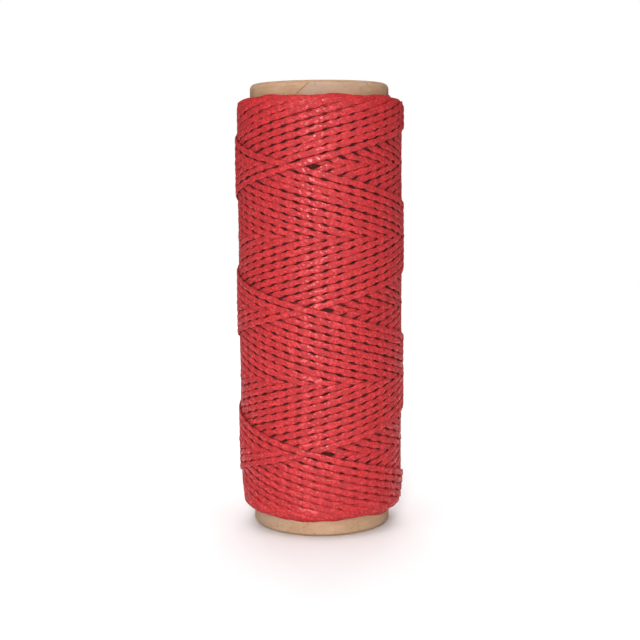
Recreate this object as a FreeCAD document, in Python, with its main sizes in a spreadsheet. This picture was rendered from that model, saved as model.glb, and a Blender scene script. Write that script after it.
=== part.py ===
import FreeCAD, Part
import Sketcher
import math
import os

# A spool of waxed sewing thread. One long flat thread is cross-wound on a spiral-wound
# paper tube, which is a stack of kraft plies glued face to face: an inner liner, some
# body plies and a thin outer ply. Each ply is one strip of paper wound as a helix, so
# it has one helical butt seam, and the seams of the plies are turned apart.
#
# Millimetres and degrees. Z runs up the tube's axis, and the origin is the centre of
# its lower end. An azimuth is measured from +X, anticlockwise seen from above.

SIZES = {
    # the paper tube
    "core_length": 70.0,
    "bore_dia": 18.0,
    "liner_thickness": 0.35,
    "body_ply_thickness": 0.34,
    "body_ply_count": 4,
    "outer_ply_thickness": 0.19,
    "rim_round": 0.85,             # radius of the rounded outer edge at each cut end
    "seam_lead": 57.0,             # climb of a seam in one turn
    "seam_gap": 0.12,              # between a strip's two edges, measured along the axis
    "outer_seam_azimuth": 265.0,   # where the outer ply's seam meets the upper end
    "seam_step": 137.0,            # turn from each ply's seam to the next one inwards
    "cutter_overrun": 0.3,         # how far a cutting section stands outside the piece
    # the thread on it
    "lower_margin": 1.6,           # bare tube below the winding
    "upper_margin": 2.0,           # bare tube above the winding
    "winding_depth": 2.4,          # build-up of thread on the tube
    "lower_shoulder": 2.2,         # rounding of the winding's lower end
    "upper_shoulder": 1.6,         # rounding of the winding's upper end
}

# Sizes that several features share, as expressions on the sheet.
BODY_WALL = "sizes.body_ply_count * sizes.body_ply_thickness"
CORE_WALL = f"(sizes.liner_thickness + {BODY_WALL} + sizes.outer_ply_thickness)"
CORE_RADIUS = f"(sizes.bore_dia / 2 + {CORE_WALL})"
SEAM_DROP = "(sizes.seam_gap + sizes.cutter_overrun)"

Vector = FreeCAD.Vector
SKETCH_ORIGIN = (-1, 1)
START, END, CENTRE = 1, 2, 3       # the point of a line or an arc that a constraint takes

doc = FreeCAD.newDocument("waxed_thread_spool")


def make_sheet():
    """The driving dimensions, one aliased cell each."""
    sheet = doc.addObject("Spreadsheet::Sheet", "sizes")
    for row, (name, value) in enumerate(SIZES.items(), start=1):
        sheet.set(f"A{row}", name)
        sheet.set(f"B{row}", str(value))
        sheet.setAlias(f"B{row}", name)
    doc.recompute()
    return sheet


sheet = make_sheet()


def value_of(expression):
    """What an expression on the sheet comes to."""
    return float(sheet.evalExpression(expression))


def new_body(label):
    body = doc.addObject("PartDesign::Body", label)
    body.Label = label
    return body


def radial_sketch(body, name):
    """A sketch on the body's XZ plane, where across is the radius and up is Z."""
    sketch = body.newObject("Sketcher::SketchObject", name)
    plane = next(o for o in body.Origin.OriginFeatures if o.Role == "XZ_Plane")
    sketch.AttachmentSupport = [(plane, "")]
    sketch.MapMode = "FlatFace"
    return sketch


def bind(sketch, direction, point, name, expression):
    """Hold one coordinate of a point, from the sketch's origin, to an expression."""
    distance = Sketcher.Constraint(direction, *SKETCH_ORIGIN, *point, value_of(expression))
    index = sketch.addConstraint(distance)
    sketch.renameConstraint(index, name)
    sketch.setExpression(f"Constraints.{name}", expression)


def arc_between(first, last, centre):
    """The arc that runs anticlockwise from first to last."""
    from_angle = math.atan2(first.y - centre.y, first.x - centre.x)
    to_angle = math.atan2(last.y - centre.y, last.x - centre.x)
    circle = Part.Circle(centre, Vector(0, 0, 1), first.distanceToPoint(centre))
    return Part.ArcOfCircle(circle, from_angle, to_angle)


def draw_outline(sketch, corners):
    """Draw one closed outline. Each corner is its name, across and up, and a fourth
    entry, the (across, up) of a centre, makes the edge that starts there an arc."""
    places = [Vector(value_of(corner[1]), value_of(corner[2]), 0) for corner in corners]
    edges = []
    for index, corner in enumerate(corners):
        first, last = places[index], places[(index + 1) % len(corners)]
        if len(corner) == 4:
            centre = Vector(value_of(corner[3][0]), value_of(corner[3][1]), 0)
            edges.append(sketch.addGeometry(arc_between(first, last, centre), False))
        else:
            edges.append(sketch.addGeometry(Part.LineSegment(first, last), False))
    for edge, following in zip(edges, edges[1:] + edges[:1]):
        sketch.addConstraint(Sketcher.Constraint("Coincident", edge, END, following, START))
    for edge, corner in zip(edges, corners):
        name, across, up = corner[:3]
        bind(sketch, "DistanceX", (edge, START), name + "_across", across)
        bind(sketch, "DistanceY", (edge, START), name + "_up", up)
        if len(corner) == 4:
            bind(sketch, "DistanceX", (edge, CENTRE), name + "_centre", corner[3][0])


def rectangle(inner, outer, low, high):
    """The corners of a section between two radii and two heights."""
    return [("low_inner", inner, low), ("low_outer", outer, low),
            ("high_outer", outer, high), ("high_inner", inner, high)]


def revolve(body, kind, name, sketch):
    """A full turn of a sketch about the tube's axis, added or cut away."""
    feature = body.newObject(kind, name)
    feature.Profile = sketch
    feature.ReferenceAxis = (sketch, ["V_Axis"])
    feature.Angle = 360
    doc.recompute()
    return feature


def require_cut(label, before, after):
    """A cut that points away from its piece takes nothing, and shows no error."""
    if not 0 < after.Volume < before:
        raise RuntimeError(f"{label}: the cut took nothing, or everything")


def round_rims(body):
    """Round the tube's outer edge at both ends, where it reaches into this ply."""
    before = body.Shape.Volume
    inside = f"{CORE_RADIUS} - sizes.rim_round"
    beyond = f"{CORE_RADIUS} + sizes.cutter_overrun"
    upper_bend = "sizes.core_length - sizes.rim_round"
    above = "sizes.core_length + sizes.cutter_overrun"
    sketch = radial_sketch(body, body.Label + "_rims")
    draw_outline(sketch, [
        ("upper_side", CORE_RADIUS, upper_bend, (inside, upper_bend)),
        ("upper_end", inside, "sizes.core_length"),
        ("upper_back", inside, above),
        ("upper_corner", beyond, above),
        ("upper_front", beyond, upper_bend)])
    draw_outline(sketch, [
        ("lower_end", inside, "0", (inside, "sizes.rim_round")),
        ("lower_side", CORE_RADIUS, "sizes.rim_round"),
        ("lower_front", beyond, "sizes.rim_round"),
        ("lower_corner", beyond, "-sizes.cutter_overrun"),
        ("lower_back", inside, "-sizes.cutter_overrun")])
    groove = revolve(body, "PartDesign::Groove", body.Label + "_rim_rounding", sketch)
    require_cut(body.Label, before, groove.Shape)


def cut_seam(body, inner, outer):
    """The open line where the two edges of the ply's strip meet, from end to end."""
    before = body.Shape.Volume
    sketch = radial_sketch(body, body.Label + "_seam_section")
    draw_outline(sketch, rectangle(f"{inner} - sizes.cutter_overrun",
                                   f"{outer} + sizes.cutter_overrun",
                                   f"-{SEAM_DROP}", "-sizes.cutter_overrun"))
    doc.recompute()
    seam = body.newObject("PartDesign::SubtractiveHelix", body.Label + "_seam")
    seam.Profile = sketch
    seam.ReferenceAxis = (sketch, ["V_Axis"])
    seam.Mode = "pitch-height-angle"
    seam.setExpression("Pitch", "sizes.seam_lead")
    seam.setExpression("Height", f"sizes.core_length + 2 * {SEAM_DROP}")
    doc.recompute()
    require_cut(body.Label, before, seam.Shape)


def make_ply(label, inner, thickness, plies_outside):
    """One strip of paper wound into a tube, with its seam turned to its own azimuth."""
    body = new_body(label)
    outer = f"{inner} + {thickness}"
    section = radial_sketch(body, label + "_section")
    draw_outline(section, rectangle(inner, outer, "0", "sizes.core_length"))
    revolve(body, "PartDesign::Revolution", label + "_wall", section)
    if value_of(outer) > value_of(f"{CORE_RADIUS} - sizes.rim_round"):
        round_rims(body)
    cut_seam(body, inner, outer)
    azimuth_at_top = f"sizes.outer_seam_azimuth + {plies_outside} * sizes.seam_step"
    climb = f"360 * (sizes.core_length + {SEAM_DROP}) / sizes.seam_lead"
    body.setExpression("Placement.Rotation.Angle", f"{azimuth_at_top} - {climb}")
    return body


def make_core():
    """The plies, from the liner outwards. Each one starts where the last one ends."""
    count = int(value_of("sizes.body_ply_count"))
    inner = "sizes.bore_dia / 2"
    plies = [make_ply("core_inner_liner", inner, "sizes.liner_thickness", count + 1)]
    inner += " + sizes.liner_thickness"
    for number in range(1, count + 1):
        label = f"core_body_ply_{number}"
        below = f"{inner} + {number - 1} * sizes.body_ply_thickness"
        plies.append(make_ply(label, below, "sizes.body_ply_thickness", count + 1 - number))
    below = f"{inner} + {BODY_WALL}"
    plies.append(make_ply("core_outer_ply", below, "sizes.outer_ply_thickness", 0))
    return plies


def make_winding():
    """The outer shape of the wound thread: it sits on the tube, between two bare ends,
    and its ends are rounded where the thread turns back."""
    body = new_body("thread_winding")
    outside = f"{CORE_RADIUS} + sizes.winding_depth"
    top = "sizes.core_length - sizes.upper_margin"
    lower_inside = f"{outside} - sizes.lower_shoulder"
    lower_bend = "sizes.lower_margin + sizes.lower_shoulder"
    upper_inside = f"{outside} - sizes.upper_shoulder"
    upper_bend = f"{top} - sizes.upper_shoulder"
    section = radial_sketch(body, "thread_winding_section")
    draw_outline(section, [
        ("low_inner", CORE_RADIUS, "sizes.lower_margin"),
        ("low_end", lower_inside, "sizes.lower_margin", (lower_inside, lower_bend)),
        ("low_side", outside, lower_bend),
        ("high_side", outside, upper_bend, (upper_inside, upper_bend)),
        ("high_end", upper_inside, top),
        ("high_inner", CORE_RADIUS, top)])
    revolve(body, "PartDesign::Revolution", "thread_winding_turns", section)
    return body


def check(pieces):
    """Stop on any failed object and on any piece that is not one sound solid."""
    for item in doc.Objects:
        if "Invalid" in item.State or "Error" in item.State:
            raise RuntimeError(f"{item.Label}: {item.State}")
    for piece in pieces:
        shape = piece.Shape
        if shape.isNull() or not shape.isValid() or len(shape.Solids) != 1:
            raise RuntimeError(f"{piece.Label}: not one valid solid")
        print(f"{piece.Label}: {shape.Volume:.1f} cubic mm")


pieces = make_core() + [make_winding()]
doc.recompute()
check(pieces)

os.makedirs("parts", exist_ok=True)
for piece in pieces:
    piece.Shape.exportStep(f"parts/{piece.Label}.step")
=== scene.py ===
import math

import bpy
import numpy as np
from mathutils import Matrix, Vector


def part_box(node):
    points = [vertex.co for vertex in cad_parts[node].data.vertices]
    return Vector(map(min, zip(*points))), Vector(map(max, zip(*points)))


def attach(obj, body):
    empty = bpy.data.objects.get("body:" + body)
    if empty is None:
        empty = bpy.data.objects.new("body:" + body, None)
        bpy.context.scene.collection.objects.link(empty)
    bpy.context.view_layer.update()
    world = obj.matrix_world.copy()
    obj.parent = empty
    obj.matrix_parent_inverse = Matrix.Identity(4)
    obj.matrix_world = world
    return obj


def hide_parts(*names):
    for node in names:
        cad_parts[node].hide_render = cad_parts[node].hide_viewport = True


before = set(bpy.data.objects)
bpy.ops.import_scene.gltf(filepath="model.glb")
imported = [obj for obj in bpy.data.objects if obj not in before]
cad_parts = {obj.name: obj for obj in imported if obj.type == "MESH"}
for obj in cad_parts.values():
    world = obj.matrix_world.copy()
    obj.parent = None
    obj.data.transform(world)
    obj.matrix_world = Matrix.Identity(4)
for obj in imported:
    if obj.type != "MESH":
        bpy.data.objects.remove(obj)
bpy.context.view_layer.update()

MM = 0.001


# The view of a product shot: a long lens a little under the spool's upper end, tipped
# down towards the middle of the winding, with the spool upright in the frame.
VIEW_DISTANCE = 200.8 * MM
VIEW_HEIGHT = 56.3 * MM
VIEW_OFFSET = -0.1 * MM
TILT_DOWN = math.radians(6.712)
ROLL = math.radians(-0.372)
LENS_MM = 70.73

camera = bpy.data.objects.new("camera", bpy.data.cameras.new("camera"))
bpy.context.scene.collection.objects.link(camera)
camera.data.lens = LENS_MM
camera.data.clip_start = 10 * MM
camera.matrix_world = (
    Matrix.Translation((VIEW_OFFSET, -VIEW_DISTANCE, VIEW_HEIGHT))
    @ Matrix.Rotation(math.pi / 2 - TILT_DOWN, 4, "X")
    @ Matrix.Rotation(ROLL, 4, "Z")
)
bpy.context.scene.camera = camera


# The thread's course. The spool turns at a steady rate while a guide carries the thread
# up and down, so it lies as a helix that turns back at each end. One rise and fall
# takes a little under six turns, and the lack sets each course beside the last one.
# Turns are counted from the front towards -X, and the last rise stops at the back.
THREAD_WIDTH = 0.89 * MM
THREAD_THICKNESS = 0.37 * MM
RISES = 65
LACK = 18.5 / 360
TURNS_PER_RISE = 6 - LACK
FIRST_RISE_TAKEN = 0.35          # the inner end lies this many turns up the first rise
LAST_RISE_STARTS = 0.528
LAST_RISE_TURNS = 2.08
TUCKED_TURNS = 0.1               # the free end, under the falls that were laid last
FALLS_OVER_THE_END = 3
TURNING_IN = 1.1 * MM            # how far each end of the helix is rounded off
LOW_END = (1.5 * MM, 2.6 * MM)   # where the guide turns back, at first and at last
HIGH_END = (68.6 * MM, 68.2 * MM)
GUIDE_CREEP = 0.7                # below 1, the guide's ends draw in mostly at first
TURNING_VARIES = (0.8, 1.2)
WANDER = 0.04 * MM               # how far a strand strays from its place
WANDER_STEP = 0.31               # of a turn, from one stray to the next

core_low, core_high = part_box("core_outer_ply")
CORE_RADIUS = (core_high[0] - core_low[0]) / 2
COLUMNS = 540                    # stations round one turn
rng = np.random.default_rng(11)


def guide_knots():
    """The turn and the height of every turning point of the guide, and of the end."""
    number = np.arange(2 * RISES + 2)
    first = (LAST_RISE_STARTS + RISES * LACK) % 1
    turns = first + number * TURNS_PER_RISE / 2
    share = np.minimum(number / (2 * RISES), 1) ** GUIDE_CREEP
    low = LOW_END[0] + (LOW_END[1] - LOW_END[0]) * share
    high = HIGH_END[0] + (HIGH_END[1] - HIGH_END[0]) * share
    return turns, np.where(number % 2 == 0, low, high)


def thread_course():
    """Station numbers, and the height of the thread's middle at each one."""
    turns, heights = guide_knots()
    end = turns[2 * RISES] + LAST_RISE_TURNS
    start = turns[0] + FIRST_RISE_TAKEN
    stations = np.arange(math.ceil(start * COLUMNS), math.floor(end * COLUMNS) + 1)
    turn = stations / COLUMNS
    z = np.interp(turn, turns, heights)
    for number, (knot, height) in enumerate(zip(turns, heights)):
        other = heights[number + 1] if number <= 2 * RISES else heights[number - 1]
        slope = (other - height) / (TURNS_PER_RISE / 2)
        reach = 2 * TURNING_IN * rng.uniform(*TURNING_VARIES) / abs(slope)
        near = np.abs(turn - knot) < reach
        z[near] = height + slope * ((turn[near] - knot) ** 2 + reach**2) / (2 * reach)
    spots = np.arange(turn[0], turn[-1] + 1, WANDER_STEP)
    return stations, z + np.interp(turn, spots, rng.normal(0, WANDER, len(spots)))


# Laying the thread. A grid round the core holds how far the winding has built up, and
# every stroke of the guide lies on it as a tight flat thread: it spans hollows in a
# straight line, tips to the ground under its two edges, and then raises the grid.
CELL = 0.15 * MM
ROWS = round(70 * MM / CELL) + 1
REACH_ROWS = 4
EDGE_ROUNDING = 3.6              # exponent of the thread's superelliptic section
FULL_DEPTH = 2.35 * MM
JOIN_REACH = 6                   # stations each side of the place where the end dips under
STRAND_PITCH = 1.09 * MM         # between two neighbours of one coverage
SPREAD = 1.23                    # the thread is flattened where something lies under it,
NARROWED = 1.0                   # and draws in beside a hollow
MOST_HOLLOW = 0.42
HOLLOW_FROM = 0.65               # half thicknesses of room below it that make a hollow
RESTS_ON = 0.49                  # of its width, each side of its middle, rests on things
PAST_MIDDLE = 0.12               # of its width, that each side feels beyond the middle
STIFFNESS = 0.25                 # share of the highest place under it in how high it lies
STRAIGHTENS = 1.07               # a tight thread spans a little more than a true circle
TIPPED = 0.6                     # share of the ground's sideways slope that it takes
STEEPEST = 0.8
PRESSED_IN = 0.5                 # share left of what stands above the winding's surface
SURFACE_AT = -0.3 * MM           # from the mean build-up, where pressing in starts
SHOULDER_ROOM = 0.25 * MM
# The rounded ends: distance from the end in millimetres, and share of the full depth.
LOW_SHOULDER = ((0, 0), (0.65, 0.26), (1.35, 0.58), (2.5, 0.8), (5, 0.88), (10, 1))
HIGH_SHOULDER = ((0, 0), (0.5, 0.58), (1.1, 0.83), (2.1, 0.94), (4.7, 1))
WINDING_ENDS = (1.65 * MM, 67.95 * MM)
# The winding is fuller towards its top: height in millimetres, and how much fuller.
FULLNESS = ((4, 1.0), (16, 1.05), (34, 1.09))
SWELL_STEP = 40                  # stations, from one change of the thread's width to the next
SWELL = (0.96, 1.04)


def section_half(across, width=THREAD_WIDTH):
    """Half of the thread's thickness, as a share, at a distance from its middle."""
    level = np.clip(1 - np.abs(2 * across / width) ** EDGE_ROUNDING, 0, 1)
    return level ** (1 / EDGE_ROUNDING)


def shoulder_share(z):
    """How much of the full depth the rounded ends of the winding can hold."""
    low = np.array(LOW_SHOULDER).T
    high = np.array(HIGH_SHOULDER).T
    return np.minimum(np.interp((z - WINDING_ENDS[0]) / MM, *low),
                      np.interp((WINDING_ENDS[1] - z) / MM, *high))


def running_mean(values, count):
    padded = np.pad(values, count // 2, mode="edge")
    return np.convolve(padded, np.ones(count) / count, mode="valid")[: len(values)]


def pulled_tight(ground, step, bend_radius):
    """The line of a tight thread over the ground: the upper hull in straightened space."""
    along = np.arange(len(ground)) * step
    sag = along**2 / (2 * bend_radius)
    level = ground - sag
    kept = [0]
    for spot in range(1, len(level)):
        while len(kept) > 1:
            before, last = kept[-2], kept[-1]
            rise = (level[last] - level[before]) * (along[spot] - along[last])
            if rise > (level[spot] - level[last]) * (along[last] - along[before]):
                break
            kept.pop()
        kept.append(spot)
    return np.interp(along, along[kept], level[kept]) + sag


def lay_thread(stations, z):
    """The height of the thread's underside above the core, its sideways slope, how wide
    its lower and its upper half are, and the height of the finished winding."""
    built = np.zeros((COLUMNS, ROWS))
    base = np.zeros(len(z))
    slope = np.zeros(len(z))
    width = np.ones((len(z), 2))
    knots, _ = guide_knots()
    cuts = np.searchsorted(stations / COLUMNS, knots)
    strokes = list(zip(cuts[:-1], cuts[1:]))
    start, stop = strokes.pop()
    tucked = stop - round(TUCKED_TURNS * COLUMNS)
    strokes.insert(len(strokes) - 2 * FALLS_OVER_THE_END + 1, (tucked, stop))
    strokes.append((start, tucked))
    row_offsets = np.arange(-REACH_ROWS, REACH_ROWS + 1)
    mean_radius = CORE_RADIUS + FULL_DEPTH / 2
    forward = 2 * math.pi * mean_radius / COLUMNS
    for start, stop in strokes:
        rise = np.gradient(z[start:stop])
        step = np.hypot(forward, rise)
        middle_row = np.rint(z[start:stop] / CELL).astype(int)[:, None]
        rows = np.clip(middle_row + row_offsets, 0, ROWS - 1)
        columns = (stations[start:stop] % COLUMNS)[:, None]
        across = (middle_row + row_offsets) * CELL - z[start:stop, None]
        across = across * (forward / step)[:, None]
        under = np.abs(across) < THREAD_WIDTH * RESTS_ON
        ground = built[columns, rows] - THREAD_THICKNESS / 2 * (1 - section_half(across))
        sides = []
        for number, side in enumerate((-1, 1)):
            beneath = under & (across * side > -PAST_MIDDLE * THREAD_WIDTH)
            highest = np.where(beneath, ground, -1).max(axis=1)
            mean = np.where(beneath, ground, 0).sum(axis=1)
            mean = mean / np.maximum(beneath.sum(axis=1), 1)
            soft = running_mean(STIFFNESS * highest + (1 - STIFFNESS) * mean, 7)
            line = pulled_tight(soft, step.mean(), mean_radius * STRAIGHTENS)
            line = running_mean(line, 5)
            sides.append(line)
            beside = z[start:stop] + side * STRAND_PITCH / 2 * step / forward
            beside_row = np.clip(np.rint(beside / CELL).astype(int), 0, ROWS - 1)
            depth = line - built[columns[:, 0], beside_row]
            hollow = np.clip(2 * depth / THREAD_THICKNESS - HOLLOW_FROM, 0, 1)
            hollow = running_mean(hollow, 5)
            width[start:stop, number] = SPREAD - NARROWED * np.minimum(hollow, MOST_HOLLOW)
        low_side, high_side = sides
        share = shoulder_share(z[start:stop])
        room = share * (FULL_DEPTH * start / len(z) + SHOULDER_ROOM) - THREAD_THICKNESS
        room = np.where(share < 0.999, room, 2 * FULL_DEPTH)
        surface = max(FULL_DEPTH * start / len(z) + SURFACE_AT, THREAD_THICKNESS)
        lies_at = (low_side + high_side) / 2
        lies_at = np.minimum(lies_at, surface + (lies_at - surface) * PRESSED_IN)
        lies_at = np.clip(lies_at, 0, np.maximum(room, 0))
        tips = TIPPED * (high_side - low_side) / (THREAD_WIDTH / 2)
        tips = np.clip(tips, -STEEPEST, STEEPEST)
        base[start:stop] = lies_at
        slope[start:stop] = tips
        top = lies_at[:, None] + tips[:, None] * across
        top += THREAD_THICKNESS / 2 * (1 + section_half(across))
        built[columns, rows] = np.maximum(built[columns, rows], np.where(under, top, 0))
    join = slice(tucked - JOIN_REACH, tucked + JOIN_REACH)
    share = np.linspace(0, 1, 2 * JOIN_REACH)
    for values in (base, slope):
        values[join] = values[join][0] * (1 - share) + values[join][-1] * share
    return base, slope, width, built


course_stations, course_z = thread_course()
course_base, course_slope, course_width, winding = lay_thread(course_stations, course_z)
heights, fullness = np.array(FULLNESS).T
course_base *= np.interp(course_z / MM, heights, fullness)
winding *= np.interp(np.arange(ROWS) * CELL / MM, heights, fullness)
swell_places = np.arange(0, len(course_z) + SWELL_STEP, SWELL_STEP)
swell = rng.uniform(*SWELL, len(swell_places))
course_width *= np.interp(np.arange(len(course_z)), swell_places, swell)[:, None]


# Turning the laid line into the thread itself. It is one length, built as consecutive
# pieces: the last coverage, which shows, is the finest, and the buried ones are plainer.
PLACES_PER_RISE = TURNS_PER_RISE * COLUMNS
JOIN_COVER = 12                  # stations that later strands cover round a join
COVERED = 1.6                    # thicknesses from its underside to the winding's surface
SPANNED = range(-1, 2)           # cells each way over which the highest is the surface,
SMOOTHED = range(-2, 3)          # and over which that is then averaged


def thread_frames():
    """The thread's middle, sideways and outward directions at every station."""
    angle = -course_stations / COLUMNS * 2 * math.pi
    radius = CORE_RADIUS + course_base + THREAD_THICKNESS / 2
    upright = np.stack([np.sin(angle), -np.cos(angle), np.zeros(len(angle))], axis=1)
    middle = upright * radius[:, None]
    middle[:, 2] = course_z
    forward = np.gradient(middle, axis=0)
    sideways = np.cross(upright, forward)
    sideways /= np.linalg.norm(sideways, axis=1)[:, None]
    sideways *= np.where(sideways[:, 2] < 0, -1, 1)[:, None]
    tip = np.arctan(course_slope)[:, None]
    return (middle, np.cos(tip) * sideways + np.sin(tip) * upright,
            np.cos(tip) * upright - np.sin(tip) * sideways)


def depth_below_surface():
    """How far the thread's upper face lies below the winding's surface round it. It
    falls to none over the rounded ends, where there is no level surface to be below."""
    surface = winding
    for axis in (0, 1):
        surface = np.max([np.roll(surface, shift, axis) for shift in SPANNED], axis=0)
    for axis in (0, 1):
        surface = np.mean([np.roll(surface, shift, axis) for shift in SMOOTHED], axis=0)
    rows = np.rint(course_z / CELL).astype(int)
    depth = surface[course_stations % COLUMNS, rows] - course_base - THREAD_THICKNESS
    return depth * np.clip(8 * shoulder_share(course_z) - 7, 0, 1)


# This depth is used only to paint shade on thread that lies sunk below its neighbours.
course_depth = depth_below_surface()
course_middle, course_sideways, course_outward = thread_frames()
steps = np.linalg.norm(np.diff(course_middle, axis=0), axis=1)
course_length = np.concatenate([[0], steps.cumsum()])


def hidden_place(place):
    """The next station at which the thread runs under later strands, to join pieces at."""
    rows = np.rint(course_z[place:] / CELL).astype(int)
    cover = winding[course_stations[place:] % COLUMNS, rows] - course_base[place:]
    buried = np.convolve(cover > COVERED * THREAD_THICKNESS, np.ones(JOIN_COVER), mode="same")
    return place + int(np.argmax(buried > JOIN_COVER - 0.5))


def thread_section(corners):
    """The corners of the thread's section, across it and outwards."""
    turn = (np.arange(corners) + 0.5) / corners * 2 * math.pi
    power = 2 / EDGE_ROUNDING
    across = np.sign(np.cos(turn)) * np.abs(np.cos(turn)) ** power * THREAD_WIDTH / 2
    outwards = np.sign(np.sin(turn)) * np.abs(np.sin(turn)) ** power * THREAD_THICKNESS / 2
    return across, outwards


def section_girth(corners):
    """The distance round the section, in millimetres."""
    across, outwards = thread_section(corners)
    return np.hypot(across - np.roll(across, 1), outwards - np.roll(outwards, 1)).sum() / MM


def build_thread(name, first, last, spacing, corners):
    """One consecutive length of the thread, closed at both of its ends."""
    picks = np.append(np.arange(first, last, spacing), last)
    across, outwards = thread_section(corners)
    rings = len(picks)
    width = course_width[picks]
    reach = across * np.where(across > 0, width[:, 1:], width[:, :1])
    centres = course_middle[picks]
    points = (centres[:, None] + course_sideways[picks][:, None] * reach[:, :, None]
              + course_outward[picks][:, None] * outwards[None, :, None])
    ring, corner = np.meshgrid(np.arange(rings - 1), np.arange(corners), indexing="ij")
    following = (corner + 1) % corners
    here, beyond = ring * corners, (ring + 1) * corners
    faces = np.stack([here + corner, here + following, beyond + following, beyond + corner], axis=-1)
    faces = faces.reshape(-1, 4)
    mesh = bpy.data.meshes.new(name)
    ends = [list(range(corners))[::-1], list(range((rings - 1) * corners, rings * corners))]
    mesh.from_pydata(points.reshape(-1, 3).tolist(), [], faces.tolist() + ends)
    lengths = course_length[picks]
    sides = np.hypot(np.roll(across, -1) - across, np.roll(outwards, -1) - outwards)
    around = np.concatenate([[0], sides.cumsum()])
    map_thread(mesh, ring.ravel(), corner.ravel(), lengths, around, corners)
    # The depth attribute carries the painted shade of sunk thread into its material.
    depth = mesh.attributes.new("depth", "FLOAT", "POINT")
    ring_depth = np.repeat(course_depth[picks] / MM, corners)
    depth.data.foreach_set("value", ring_depth.astype(np.float32))
    smooth = np.arange(len(mesh.polygons)) < len(faces)
    mesh.polygons.foreach_set("use_smooth", smooth)
    piece = bpy.data.objects.new(name, mesh)
    bpy.context.scene.collection.objects.link(piece)
    return piece, centres


ROW_SPARE = 1.02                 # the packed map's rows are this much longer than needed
ROW_MARGIN = 0.06                # clear of the next row, each side
ROW_FILLS = 0.88
MAP_START, MAP_FILLS = 0.004, 0.99


def map_thread(mesh, ring, corner, lengths, around, corners):
    """Two maps: the thread's own, in millimetres along and around it, and a packed one
    of even scale, which lays the thread out in rows across a square."""
    total, girth = lengths[-1] - lengths[0], around[-1]
    row_count = max(1, math.ceil(math.sqrt(total / girth)))
    per_row = math.ceil((len(lengths) - 1) / row_count)
    row_starts = np.arange(0, len(lengths), per_row)
    row = ring // per_row
    row_length = total / row_count * ROW_SPARE
    corner_rings = np.stack([ring, ring, ring + 1, ring + 1], axis=1)
    corner_sides = np.stack([corner, corner + 1, corner + 1, corner], axis=1)
    along = lengths[corner_rings]
    side = around[corner_sides]
    end_caps = np.zeros((2 * corners, 2))
    own = np.concatenate([np.stack([along, side], axis=-1).reshape(-1, 2) / MM, end_caps])
    past_start = along - lengths[row_starts[row]][:, None]
    packed_u = MAP_START + MAP_FILLS * past_start / row_length
    packed_v = (row[:, None] + ROW_MARGIN + ROW_FILLS * side / girth) / (row.max() + 1)
    packed = np.concatenate([np.stack([packed_u, packed_v], axis=-1).reshape(-1, 2), end_caps])
    for name, values in (("ThreadMap", own), ("OFBake", packed)):
        layer = mesh.uv_layers.new(name=name)
        layer.data.foreach_set("uv", values.astype(np.float32).ravel())


class Socket:
    """A shader socket that takes part in Python expressions, one Math node per step."""

    def __init__(self, nodes, output):
        self.nodes = nodes
        self.output = output

    def math(self, operation, *others, flip=False):
        values = (*others, self) if flip else (self, *others)
        return self.nodes.add("ShaderNodeMath", {"operation": operation}, values)

    def __add__(self, other):
        return self.math("ADD", other)

    def __radd__(self, other):
        return self.math("ADD", other, flip=True)

    def __sub__(self, other):
        return self.math("SUBTRACT", other)

    def __rsub__(self, other):
        return self.math("SUBTRACT", other, flip=True)

    def __mul__(self, other):
        return self.math("MULTIPLY", other)

    def __rmul__(self, other):
        return self.math("MULTIPLY", other, flip=True)

    def __truediv__(self, other):
        return self.math("DIVIDE", other)

    def __pow__(self, other):
        return self.math("POWER", other)

    def __gt__(self, other):
        return self.math("GREATER_THAN", other)

    def __getitem__(self, name):
        return Socket(self.nodes, self.output.node.outputs[name])

    def clamped(self):
        """The same value, kept between 0 and 1."""
        return self.math("MINIMUM", 1.0).math("MAXIMUM", 0.0)


class Nodes:
    """The node tree of a new material, or of the world, with its shader."""

    def __init__(self, owner, shader="Principled BSDF"):
        self.owner = owner
        self.owner.use_nodes = True
        self.tree = self.owner.node_tree
        self.shader = self.tree.nodes[shader]

    def set(self, socket, value):
        if isinstance(value, Socket):
            self.tree.links.new(value.output, socket)
        else:
            socket.default_value = value

    def add(self, kind, settings=None, values=(), output=0):
        """Any node: its settings first, then the values or links of its sockets."""
        node = self.tree.nodes.new(kind)
        for name, setting in (settings or {}).items():
            setattr(node, name, setting)
        pairs = values.items() if isinstance(values, dict) else enumerate(values)
        for name, value in pairs:
            self.set(node.inputs[name], value)
        return Socket(self, node.outputs[output])

    def mix(self, share, low, high):
        """A colour between two colours."""
        values = {0: share, 6: low, 7: high}
        return self.add("ShaderNodeMix", {"data_type": "RGBA"}, values, output=2)

    def noise(self, place, scale, detail, roughness=0.5):
        values = {"Vector": place, "Scale": scale, "Detail": detail, "Roughness": roughness}
        return self.add("ShaderNodeTexNoise", {}, values)

    def bump(self, height, distance, strength=1.0):
        values = {"Strength": strength, "Distance": distance, "Height": height}
        return self.add("ShaderNodeBump", {}, values)

    def finish(self, **inputs):
        for name, value in inputs.items():
            self.set(self.shader.inputs[name.replace("_", " ")], value)
        return self.owner


# The finish of the thread: a fine flat braid of red polyester, pulled through wax. Its
# bundles cross on the diagonal, with painted shade in the creases between them, and the wax
# leaves some of their crowns glossy and pale: the paleness is partly wax bloom and partly a
# painted highlight. Painted shade makes it deeper red down its sides, and darkest where it
# lies sunk below its neighbours.
RED = (0.52, 0.016, 0.020, 1)
# Darker fibres, and painted shade in the creases between the braid's bundles.
FIBRE_AND_CREASE_SHADE_RED = (0.29, 0.006, 0.009, 1)
# Painted shade down the thread's sides, where its faces turn away from the surface.
SIDE_SHADE_RED = (0.16, 0.002, 0.004, 1)
# Painted shade where the thread lies sunk below its neighbours.
SUNK_SHADE_RED = (0.045, 0.0002, 0.0004, 1)
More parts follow.
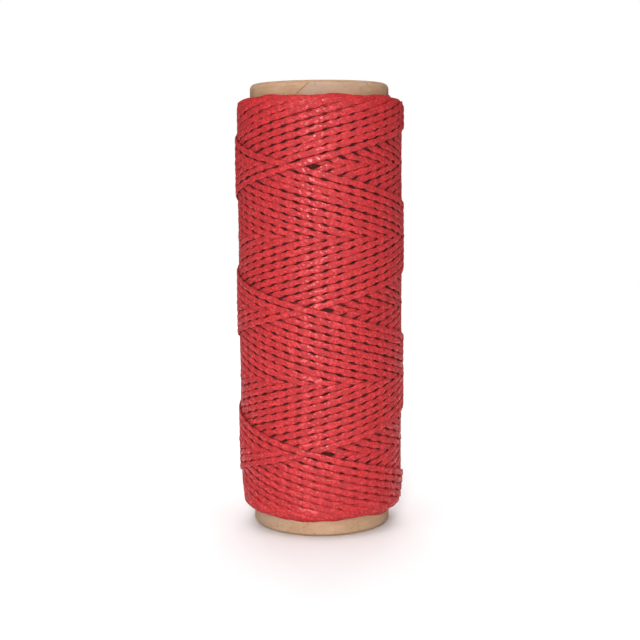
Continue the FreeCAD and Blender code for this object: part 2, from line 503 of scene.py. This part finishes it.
# Paler waxed crowns: partly wax bloom, partly a painted highlight.
WAX_BLOOM_AND_HIGHLIGHT_RED = (0.66, 0.09, 0.10, 1)
WAX_TINT = (1, 0.66, 0.66, 1)
BUNDLE_PITCH = 0.42              # from one crossing bundle to the next, in millimetres
BUNDLE_SLANT = 1.15              # how steeply the bundles cross the thread
SIDE_SHADE_FROM, SIDE_SHADE_RISE = 0.3, 3    # the painted shade down the sides starts where a face looks this far away
SUNK_SHADE_FROM, SUNK_SHADE_RISE = 0.2, 5    # the painted shade of sunk thread starts at this depth in millimetres
WAX_FROM, WAX_RISE = 1.0, 6      # how few bundles are waxed, and how sharply
BRAID_RELIEF = 0.05 * MM


def waxed_braid(corners):
    nodes = Nodes(bpy.data.materials.new("waxed_red_thread"))
    place = nodes.add("ShaderNodeUVMap", {"uv_map": "ThreadMap"})
    wander = nodes.noise(place, 0.9, 1.0) * 0.3
    parts = nodes.add("ShaderNodeSeparateXYZ", {}, [place])
    along, around = parts["X"] + wander, parts["Y"]
    rising = (along + around * BUNDLE_SLANT) / BUNDLE_PITCH
    falling = (along - around * BUNDLE_SLANT) / BUNDLE_PITCH
    first = (rising * math.pi).math("SINE").math("ABSOLUTE")
    second = (falling * math.pi).math("SINE").math("ABSOLUTE")
    cell = [rising.math("FLOOR"), falling.math("FLOOR")]
    crossing = nodes.add("ShaderNodeCombineXYZ", {}, cell)
    draw = nodes.add("ShaderNodeTexWhiteNoise", {"noise_dimensions": "2D"}, [crossing])
    over = draw > 0.5
    crown = (first * over + second * (1 - over)) ** 0.7
    stretched = nodes.add("ShaderNodeMapping", {}, {"Vector": place, "Scale": (2.2, 9.0, 1)})
    fibres = nodes.noise(stretched, 1.6, 3.0)
    patches = nodes.noise(place, 0.3, 3.0)
    share = around * (2 * math.pi / section_girth(corners)) + math.pi / corners
    facing = share.math("SINE")
    # The side mask: where the painted shade down the thread's sides goes.
    side = ((SIDE_SHADE_FROM - facing) * SIDE_SHADE_RISE).clamped()
    # How deep the thread lies below the winding's surface, which sets its painted sunk shade.
    depth = nodes.add("ShaderNodeAttribute", {"attribute_name": "depth"}, output="Fac")
    sunk_shade = ((depth - SUNK_SHADE_FROM) * SUNK_SHADE_RISE).clamped()
    waxed = ((draw + patches * 0.6 - WAX_FROM) * WAX_RISE).clamped() * crown * (1 - sunk_shade)
    # Darker between the bundles' crowns, as painted shade in the creases, and where the fibres are
    # darker.
    color = nodes.mix(crown * 0.75 + fibres * 0.5 - 0.1, FIBRE_AND_CREASE_SHADE_RED, RED)
    # Waxed crowns are paler: partly wax bloom, partly a painted highlight.
    color = nodes.mix(waxed * 0.25, color, WAX_BLOOM_AND_HIGHLIGHT_RED)
    tone = patches * 0.24 + draw * 0.55 + 0.61
    color = nodes.add("ShaderNodeHueSaturation", {}, {"Value": tone, "Color": color})
    # Painted shade down the thread's sides.
    color = nodes.mix(side, color, SIDE_SHADE_RED)
    # Painted shade, darkest, where the thread lies sunk below its neighbours.
    color = nodes.mix(sunk_shade, color, SUNK_SHADE_RED)
    height = crown * 0.7 + fibres * 0.3
    roughness = side * 0.2 + sunk_shade * 0.3 - waxed * 0.54 + 0.72
    return nodes.finish(Base_Color=color, Roughness=roughness,
                        Normal=nodes.bump(height, BRAID_RELIEF),
                        Specular_IOR_Level=0.5, Specular_Tint=WAX_TINT)


# The pieces. The outer coverage has twelve corners round its section, and the material
# takes its sides from that; on the buried pieces, which hardly show, it is near enough.
OUTER_CORNERS = 12
RISES_TO_COVER = 20              # rises and falls that hide everything under them

thread_material = waxed_braid(OUTER_CORNERS)
last_place = len(course_z) - 1
coverage = round(RISES_TO_COVER * PLACES_PER_RISE)
# Each stretch: its name, its pieces, first and last place, stations per ring, corners.
STRETCHES = (
    ("buried", 1, 0, last_place - 2 * coverage, 12, 6),
    ("covered", 2, last_place - 2 * coverage, last_place - coverage, 6, 8),
    ("outer", 5, last_place - coverage, last_place, 2, OUTER_CORNERS),
)
lengths = []
for stretch, count, first, last, spacing, corners in STRETCHES:
    for number in range(count):
        place = first + number * (last - first) // count
        place = hidden_place(place) if place > 0 else 0
        lengths.append((f"thread_{stretch}_{number + 1}", place, spacing, corners))
ends = [place for _, place, _, _ in lengths[1:]] + [last_place]
for (name, first, spacing, corners), last in zip(lengths, ends):
    piece, centres = build_thread(name, first, last, spacing, corners)
    piece.data.materials.append(thread_material)
    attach(piece, "root")
    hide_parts("thread_winding")
    "bare" if last == last_place else "object"


# The paper tube: kraft strips wound on a mandrel and glued. Each ply is its own solid
# with its own seam, and shows only at the cut ends and in the bore, with a thin dark
# line of glue under it. The outer ply is greyer beside its seam.
KRAFT = (0.38, 0.225, 0.13, 1)
KRAFT_PALE = (0.50, 0.325, 0.20, 1)
KRAFT_GREY = (0.38, 0.27, 0.20, 1)
KRAFT_DARK = (0.20, 0.11, 0.06, 1)
SEAM_LEAD = 57 * MM              # climb of the outer ply's seam in one turn
SEAM_AT_TOP = 265 / 360          # its place at the upper end, in turns from +X
GREY_WIDTH = 0.16                # of a turn, beside the seam
GLUE_LINE = 0.06 * MM
SHADES = (0.86, 0.94, 1.02)      # the strips differ a little in tone
FIBRE_RELIEF = 0.04 * MM


def kraft_paper(name, shade, beside_seam, inner_radius):
    """One ply's paper. The glue shows only on the cut ends, next to the ply inside it."""
    nodes = Nodes(bpy.data.materials.new(name))
    place = nodes.add("ShaderNodeTexCoord", output="Object")
    parts = nodes.add("ShaderNodeSeparateXYZ", {}, [place])
    azimuth = parts["Y"].math("ARCTAN2", parts["X"]) / (2 * math.pi)
    past_seam = (azimuth - SEAM_AT_TOP + (core_high[2] - parts["Z"]) / SEAM_LEAD).math("FRACT")
    grey = ((GREY_WIDTH - past_seam) / GREY_WIDTH).math("MAXIMUM", 0.0) * beside_seam
    long_fibres = nodes.add("ShaderNodeMapping", {}, {"Vector": place, "Scale": (1, 1, 2.4)})
    cloud = nodes.noise(long_fibres, 330.0, 4.0, 0.6)
    fibres = nodes.noise(long_fibres, 1700.0, 5.0, 0.75)
    flecks = nodes.noise(place, 2300.0, 1.0)
    fleck = ((flecks - 0.64) * 12).clamped()
    pale = ((cloud - 0.5) * 2.2 + fibres).math("MAXIMUM", 0.0)
    color = nodes.mix(pale, KRAFT, KRAFT_PALE)
    color = nodes.mix(grey * 0.75, color, KRAFT_GREY)
    color = nodes.mix(fleck * 0.55, color, KRAFT_DARK)
    radius = (parts["X"] * parts["X"] + parts["Y"] * parts["Y"]) ** 0.5
    glue = (1 - (radius - inner_radius) / GLUE_LINE).clamped()
    color = nodes.mix(glue * 0.8, color, KRAFT_DARK)
    color = nodes.add("ShaderNodeHueSaturation", {}, {"Value": shade, "Color": color})
    return nodes.finish(Base_Color=color, Roughness=fibres * 0.2 + 0.72,
                        Normal=nodes.bump(fibres, FIBRE_RELIEF, 0.6), Specular_IOR_Level=0.25)


plies = sorted((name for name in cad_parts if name.startswith("core_")),
               key=lambda name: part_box(name)[1][0])
inner_radius = 0
for number, name in enumerate(plies):
    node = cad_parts[name]
    node.data.materials.clear()
    shade = SHADES[number % len(SHADES)]
    beside_seam = float(name == "core_outer_ply")
    node.data.materials.append(kraft_paper("kraft_" + name, shade, beside_seam, inner_radius))
    inner_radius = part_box(name)[1][0]


# The studio: a pale floor that fades out into a white surround, and broad soft lights.
FLOOR_SIZE = 1.4
FADE_FROM, FADE_TO = 0.16, 0.42  # distance from the spool over which the floor fades
floor_mesh = bpy.data.meshes.new("floor")
half = FLOOR_SIZE / 2
floor_corners = [(-half, -half, 0), (half, -half, 0), (half, half, 0), (-half, half, 0)]
floor_mesh.from_pydata(floor_corners, [], [(0, 1, 2, 3)])
floor = bpy.data.objects.new("floor", floor_mesh)
bpy.context.scene.collection.objects.link(floor)
floor_nodes = Nodes(bpy.data.materials.new("pale_floor"))
floor_place = floor_nodes.add("ShaderNodeTexCoord", output="Object")
length_of = {"operation": "LENGTH"}
away = floor_nodes.add("ShaderNodeVectorMath", length_of, [floor_place], output="Value")
faded = floor_nodes.add("ShaderNodeMapRange", {"interpolation_type": "SMOOTHSTEP"},
                        {"Value": away, "From Min": FADE_FROM, "From Max": FADE_TO})
floor_mesh.materials.append(floor_nodes.finish(Base_Color=(0.92, 0.92, 0.92, 1), Roughness=0.8,
                                               Specular_IOR_Level=0.1, Alpha=1 - faded))


def soft_light(name, place, aim, size, power, shines=False):
    """A broad light. Only one that shines is seen in the wax's gloss."""
    light = bpy.data.objects.new(name, bpy.data.lights.new(name, "AREA"))
    light.data.shape = "RECTANGLE"
    light.data.size, light.data.size_y = size
    light.data.energy = power
    light.location = place
    light.rotation_euler = (Vector(aim) - Vector(place)).to_track_quat("-Z", "Y").to_euler()
    light.visible_glossy = shines
    light.visible_diffuse = not shines
    bpy.context.scene.collection.objects.link(light)


MIDDLE = (0, 0, 0.035)
soft_light("strip", (-0.05, -0.6, 0.2), MIDDLE, (0.09, 0.42), 3.2)
soft_light("gloss", (-0.03, -0.6, 0.2), MIDDLE, (0.08, 0.42), 9.0, shines=True)
soft_light("left_bank", (-0.42, -0.42, 0.25), MIDDLE, (0.35, 0.5), 0.5)
soft_light("right_bank", (0.42, -0.42, 0.25), MIDDLE, (0.35, 0.5), 0.2)
soft_light("back_bank", (0, 0.6, 0.25), MIDDLE, (0.5, 0.5), 2.8)
soft_light("overhead", (0, 0, 0.8), MIDDLE, (0.9, 0.9), 6.2)

# The surround is white behind the spool, and gives only a little light itself.
SURROUND_LIGHTS, SURROUND_SHOWS = 0.08, 1.0
surround = Nodes(bpy.data.worlds.new("white_surround"), "Background")
seen = surround.add("ShaderNodeLightPath", output="Is Camera Ray")
strength = surround.add("ShaderNodeMapRange", {}, {"Value": seen, "To Min": SURROUND_LIGHTS,
                                                   "To Max": SURROUND_SHOWS})
bpy.context.scene.world = surround.finish(Color=(1, 1, 1, 1), Strength=strength)
bpy.context.scene.view_settings.view_transform = "Standard"
